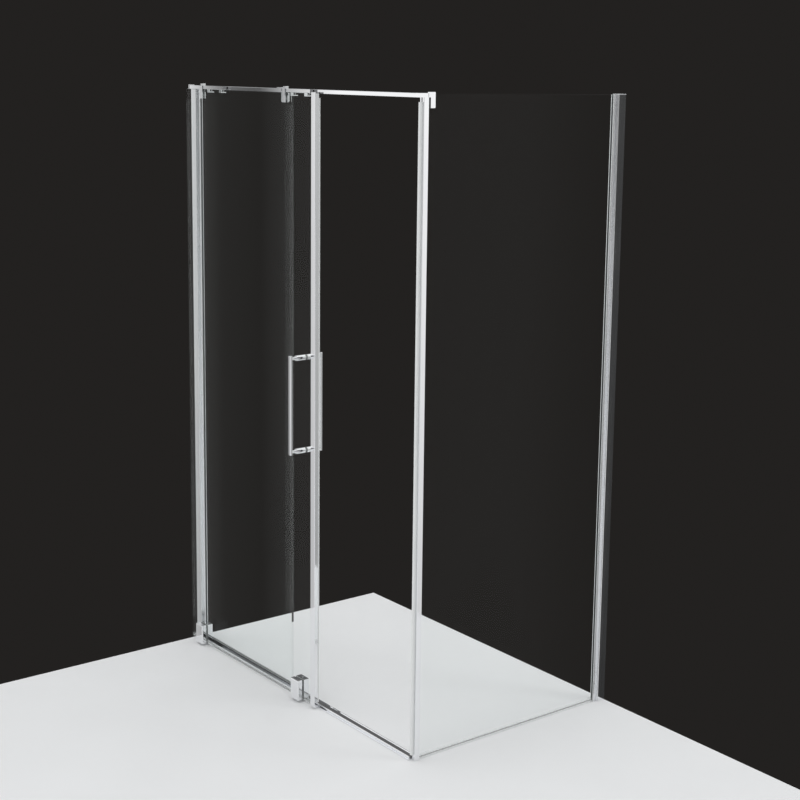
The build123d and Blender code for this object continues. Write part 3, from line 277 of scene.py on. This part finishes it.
def make_tone_drift():
    """A slow change of tone over a surface, between two colours."""
    group, given, result = new_group(
        "tone_drift",
        [("First", "NodeSocketColor", WHITE), ("Second", "NodeSocketColor", WHITE),
         ("Scale", "NodeSocketFloat", 1.0)],
        [("Color", "NodeSocketColor")])
    place = group.nodes.new("ShaderNodeTexCoord").outputs["Object"]
    drift = noise(group, place, given.outputs["Scale"], TONE_DETAIL)
    mix = group.nodes.new("ShaderNodeMix")
    mix.data_type = "RGBA"
    group.links.new(drift, mix.inputs["Factor"])
    group.links.new(given.outputs["First"], mix.inputs[MIX_FIRST_COLOR])
    group.links.new(given.outputs["Second"], mix.inputs[MIX_SECOND_COLOR])
    group.links.new(mix.outputs[MIX_COLOR], result.inputs["Color"])
    return group


SURFACE_MARKS = make_surface_marks()
TONE_DRIFT = make_tone_drift()


def add_group(tree, group, **values):
    node = tree.nodes.new("ShaderNodeGroup")
    node.node_tree = group
    for label, value in values.items():
        node.inputs[label.replace("_", " ")].default_value = value
    return node


def add_tone(tree, shader, first, second, scale):
    tone = add_group(tree, TONE_DRIFT, First=solid(first), Second=solid(second), Scale=scale)
    tree.links.new(tone.outputs["Color"], shader.inputs["Base Color"])


def add_marks(tree, shader, low, high, stretch, haze_scale=HAZE_SCALE, film_scale=FILM_SCALE, relief=0.0):
    marks = add_group(tree, SURFACE_MARKS, Low=low, High=high, Stretch=stretch,
                      Haze_Scale=haze_scale, Film_Scale=film_scale)
    tree.links.new(marks.outputs["Value"], shader.inputs["Roughness"])
    if relief:
        bump = tree.nodes.new("ShaderNodeBump")
        bump.inputs["Strength"].default_value = BUMP_STRENGTH
        bump.inputs["Distance"].default_value = relief
        tree.links.new(marks.outputs["Height"], bump.inputs["Height"])
        tree.links.new(bump.outputs["Normal"], shader.inputs["Normal"])


# The finishes

def blank_material(name):
    material = bpy.data.materials.new(name)
    material.use_nodes = True
    shader = material.node_tree.nodes["Principled BSDF"]
    return material, material.node_tree, shader


def chrome(name, marks):
    material, tree, shader = blank_material(name)
    shader.inputs["Metallic"].default_value = 1.0
    add_tone(tree, shader, **CHROME_TONES)
    add_marks(tree, shader, **marks)
    return material


def brushed_steel():
    material, tree, shader = blank_material("brushed_steel")
    shader.inputs["Metallic"].default_value = 1.0
    add_tone(tree, shader, **STEEL_TONES)
    add_marks(tree, shader, **STEEL_MARKS)
    return material


def clear_glass():
    material, tree, shader = blank_material("clear_safety_glass")
    shader.inputs["IOR"].default_value = GLASS_INDEX
    shader.inputs["Transmission Weight"].default_value = 1.0
    shader.inputs["Specular Tint"].default_value = grey(GLASS_MIRROR)
    add_tone(tree, shader, **GLASS_TONES)
    add_marks(tree, shader, **GLASS_MARKS)
    let_light_through(tree, shader)
    return material


def let_light_through(tree, shader):
    """Shadows of the glass stay pale, as real ones are, since the light goes on through it."""
    shadow = tree.nodes.new("ShaderNodeLightPath").outputs["Is Shadow Ray"]
    clear = tree.nodes.new("ShaderNodeBsdfTransparent")
    clear.inputs["Color"].default_value = grey(GLASS_PASSED)
    surface = mixed_shader(tree, shadow, shader.outputs["BSDF"], clear.outputs["BSDF"])
    tree.links.new(surface, tree.nodes["Material Output"].inputs["Surface"])


def clear_seal_plastic(name, cover):
    """Clear soft plastic with a slight milky body."""
    material, tree, shader = blank_material(name)
    shader.inputs["IOR"].default_value = SEAL_INDEX
    shader.inputs["Alpha"].default_value = cover
    add_tone(tree, shader, **SEAL_TONES)
    add_marks(tree, shader, **SEAL_MARKS)
    return material


def gasket_plastic():
    material, tree, shader = blank_material("gasket_plastic")
    add_tone(tree, shader, **GASKET_TONES)
    add_marks(tree, shader, **GASKET_MARKS)
    return material


def magnet_strip_plastic():
    material, tree, shader = blank_material("magnet_strip_plastic")
    add_tone(tree, shader, **MAGNET_STRIP_TONES)
    add_marks(tree, shader, **MAGNET_STRIP_MARKS)
    return material


def nylon():
    material, tree, shader = blank_material("nylon")
    add_tone(tree, shader, **NYLON_TONES)
    add_marks(tree, shader, **NYLON_MARKS)
    shader.inputs["Subsurface Weight"].default_value = NYLON_GLOW
    shader.inputs["Subsurface Radius"].default_value = NYLON_GLOW_REACH
    return material


def stop_rubber():
    material, tree, shader = blank_material("stop_rubber")
    add_tone(tree, shader, **RUBBER_TONES)
    add_marks(tree, shader, **RUBBER_MARKS)
    return material


def cap_plastic():
    material, tree, shader = blank_material("cap_plastic")
    add_tone(tree, shader, **CAP_TONES)
    add_marks(tree, shader, **CAP_MARKS)
    return material


def pale_floor():
    material, tree, shader = blank_material("pale_floor")
    shade = [channel * PALE_FLOOR_SHADE_SHARE for channel in PALE_FLOOR_COLOR]
    add_tone(tree, shader, shade, PALE_FLOOR_COLOR, PALE_FLOOR_SCALE)
    add_marks(tree, shader, **PALE_FLOOR_MARKS)
    return material


def dark_backdrop():
    """A plain dark tone for a straight view. Mirrored and scattered light goes through it to the studio."""
    material, tree, shader = blank_material("dark_backdrop")
    shader.inputs["Base Color"].default_value = BLACK
    shader.inputs["Specular IOR Level"].default_value = 0.0
    shader.inputs["Emission Color"].default_value = solid(BACKDROP_COLOR)
    shader.inputs["Emission Strength"].default_value = 1.0
    unseen = tree.nodes.new("ShaderNodeBsdfTransparent")
    surface = mixed_shader(tree, straight_view(tree), unseen.outputs["BSDF"], shader.outputs["BSDF"])
    tree.links.new(surface, tree.nodes["Material Output"].inputs["Surface"])
    return material


def straight_view(tree):
    """1 where the camera looks straight at a place or through clear glass, 0 for other light."""
    path = tree.nodes.new("ShaderNodeLightPath")
    bounces = math_node(tree, "ADD", path.outputs["Glossy Depth"], path.outputs["Diffuse Depth"])
    unbounced = math_node(tree, "LESS_THAN", bounces, NO_BOUNCE_BELOW)
    through = math_node(tree, "MULTIPLY", path.outputs["Is Transmission Ray"], unbounced)
    return math_node(tree, "MAXIMUM", path.outputs["Is Camera Ray"], through)


# The enclosure: every piece gets its finish, and most get small rounds on their edges

def round_edges(piece, width):
    bevel = piece.modifiers.new("edge_round", "BEVEL")
    bevel.width = width
    bevel.segments = EDGE_SEGMENTS
    bevel.limit_method = "ANGLE"
    bevel.angle_limit = math.radians(EDGE_LEAST_ANGLE)
    bevel.harden_normals = True


def dress(names, material, edge=0.0):
    """Gives the pieces their finish and, where an edge is given, the small rounds that catch the light."""
    for name in names:
        piece = nodes[name]
        for slot in piece.material_slots:
            slot.material = material
        if edge:
            round_edges(piece, edge)


def dress_enclosure():
    dress(CHROME_PROFILES, chrome("drawn_chrome", DRAWN_CHROME_MARKS), DRAWN_EDGE)
    dress(SLIDING_PROFILES, chrome("soft_chrome", SOFT_CHROME_MARKS), DRAWN_EDGE)
    dress(CHROME_RAILS, chrome("rail_chrome", RAIL_CHROME_MARKS), DRAWN_EDGE)
    dress(CHROME_FITTINGS, chrome("cast_chrome", CAST_CHROME_MARKS), CAST_EDGE)
    dress(CHROME_HANDLE, chrome("handle_chrome", HANDLE_CHROME_MARKS))
    dress(GLASS_PANES, clear_glass(), GLASS_EDGE)
    dress(EDGE_SEALS, clear_seal_plastic("clear_edge_seal", EDGE_SEAL_COVER))
    dress(BASE_SEALS, clear_seal_plastic("clear_base_seal", BASE_SEAL_COVER))
    dress(GASKETS, gasket_plastic())
    dress(MAGNET_STRIPS, magnet_strip_plastic(), MAGNET_STRIP_EDGE)
    steel = brushed_steel()
    dress(STEEL_PARTS, steel, STEEL_EDGE)
    dress(ROLLER_BEARINGS, steel)
    dress(ROLLER_TYRES + GUIDE_WHEELS, nylon(), WHEEL_EDGE)
    dress(DOOR_STOPS, stop_rubber(), STOP_EDGE)
    dress(PROFILE_CAPS, cap_plastic(), CAP_EDGE)


# Studio: a pale floor where the enclosure stands, a plain dark backdrop round it, and soft light

def flat_sheet(name, low, high, height, material):
    """A level sheet between two corners, each given as (x, y)."""
    (left, front), (right, back) = low, high
    corners = [(left, front, height), (right, front, height), (right, back, height), (left, back, height)]
    mesh = bpy.data.meshes.new(name)
    mesh.from_pydata(corners, [], [(0, 1, 2, 3)])
    mesh.materials.append(material)
    sheet = bpy.data.objects.new(name, mesh)
    bpy.context.collection.objects.link(sheet)


def lay_floor():
    """The pale floor ends at the enclosure's left side and at its back, and the backdrop lies past it."""
    low, high = cad_box
    flat_sheet("pale_floor", (low.x, -FLOOR_REACH), (FLOOR_REACH, high.y), 0.0, pale_floor())
    reach = BACKDROP_REACH
    flat_sheet("dark_backdrop", (-reach, -reach), (reach, reach), BACKDROP_HEIGHT, dark_backdrop())


def set_screens(stops):
    """Puts the studio's brightness all round on a ramp, which runs once round from bearing -180."""
    for turn, _ in STUDIO_ROUND[1:-1]:
        stops.new(turn / FULL_TURN + RAMP_MIDDLE)
    for stop, (_, level) in zip(stops, STUDIO_ROUND):
        stop.color = grey(level)


def studio_level(tree):
    """How bright the studio is in each direction."""
    direction = tree.nodes.new("ShaderNodeTexCoord")
    parts = tree.nodes.new("ShaderNodeSeparateXYZ")
    tree.links.new(direction.outputs["Generated"], parts.inputs["Vector"])
    bearing = math_node(tree, "ARCTAN2", parts.outputs["X"], parts.outputs["Y"])
    around = ranged(tree, bearing, (-math.pi, math.pi), (0.0, 1.0))
    screens = tree.nodes.new("ShaderNodeValToRGB")
    set_screens(screens.color_ramp.elements)
    tree.links.new(around, screens.inputs["Fac"])
    low_share = ranged(tree, parts.outputs["Z"], STUDIO_FOOT_BAND, (STUDIO_FOOT_SHARE, 1.0))
    sides = math_node(tree, "MULTIPLY", screens.outputs["Color"], low_share)
    overhead = ranged(tree, parts.outputs["Z"], STUDIO_TOP_BAND, (0.0, STUDIO_TOP))
    return math_node(tree, "MAXIMUM", sides, overhead)


def light_studio():
    world = bpy.data.worlds.new("studio")
    world.use_nodes = True
    tree = world.node_tree
    soft = tree.nodes["Background"]
    soft.inputs["Color"].default_value = WHITE
    tree.links.new(studio_level(tree), soft.inputs["Strength"])
    plain = tree.nodes.new("ShaderNodeBackground")
    plain.inputs["Color"].default_value = solid(BACKDROP_COLOR)
    sky = mixed_shader(tree, straight_view(tree), soft.outputs["Background"], plain.outputs["Background"])
    tree.links.new(sky, tree.nodes["World Output"].inputs["Surface"])
    bpy.context.scene.world = world


def add_softbox(name, place, aim, width, height, power):
    light = bpy.data.lights.new(name, "AREA")
    light.shape = "RECTANGLE"
    light.size = width
    light.size_y = height
    light.energy = power
    box = bpy.data.objects.new(name, light)
    box.location = place
    box.rotation_euler = (Vector(aim) - Vector(place)).to_track_quat("-Z", "Y").to_euler()
    box.visible_camera = False
    box.visible_glossy = False
    box.visible_transmission = False
    bpy.context.collection.objects.link(box)


def turned(degrees, axis):
    return Matrix.Rotation(math.radians(degrees), 4, axis)


def place_camera():
    camera = bpy.data.cameras.new("camera")
    camera.sensor_width = CAMERA_SENSOR
    camera.lens = CAMERA_LENS
    camera.shift_y = CAMERA_SHIFT_Y
    camera.clip_start = CAMERA_NEAREST
    camera.clip_end = CAMERA_FARTHEST
    holder = bpy.data.objects.new("camera", camera)
    aim = turned(CAMERA_YAW, "Z") @ turned(LEVEL_VIEW + CAMERA_PITCH, "X") @ turned(CAMERA_ROLL, "Z")
    holder.matrix_world = Matrix.Translation(CAMERA_PLACE) @ aim
    bpy.context.collection.objects.link(holder)
    bpy.context.scene.camera = holder


dress_enclosure()
lay_floor()
light_studio()
for softbox in SOFTBOXES:
    add_softbox(*softbox)
place_camera()
bpy.context.scene.view_settings.view_transform = "Standard"
